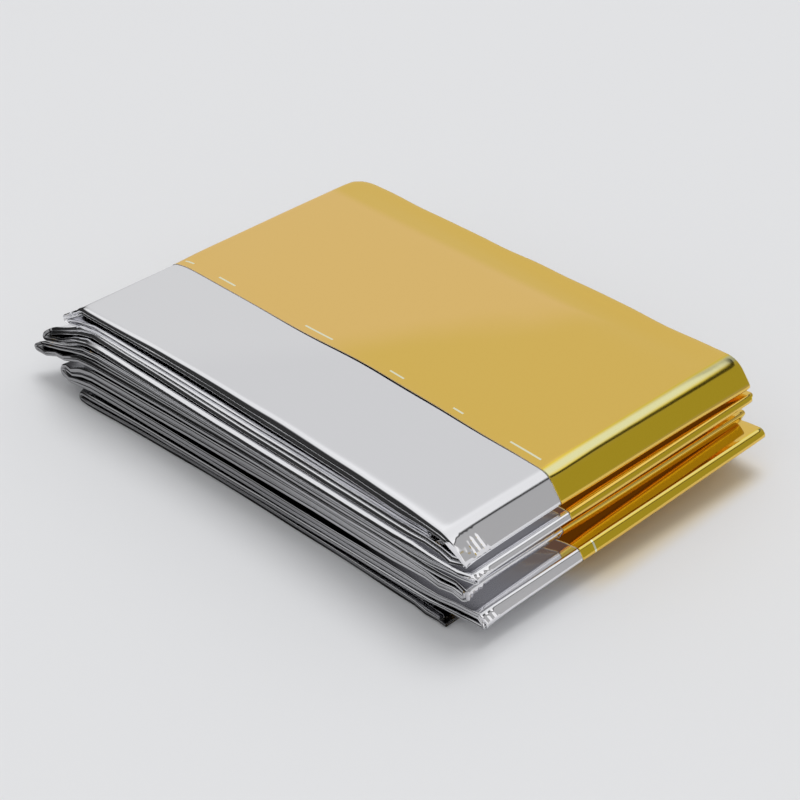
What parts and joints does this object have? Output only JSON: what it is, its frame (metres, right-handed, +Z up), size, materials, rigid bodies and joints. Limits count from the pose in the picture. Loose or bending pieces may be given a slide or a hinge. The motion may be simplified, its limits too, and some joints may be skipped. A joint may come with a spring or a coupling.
{
  "type": "folded emergency foil blanket",
  "caption": "Emergency foil blanket folded to a flat packet, gold on one face of the film and silver on the other.",
  "frame": {"origin": "middle of the packet's box at its underside, on the surface that it lies on", "axes": "+X along the long side, towards the open folded ends with the tall top fold; +Y along the short side, towards the all-gold edge; +Z up through the layers"},
  "size_m": [0.1688, 0.1046, 0.0286],
  "materials": {
    "foil": "glossy metallised film, gold on one face and silver on the other"
  },
  "bodies": {
    "root": {"foil_blanket": "foil"}
  },
  "joints": []
}
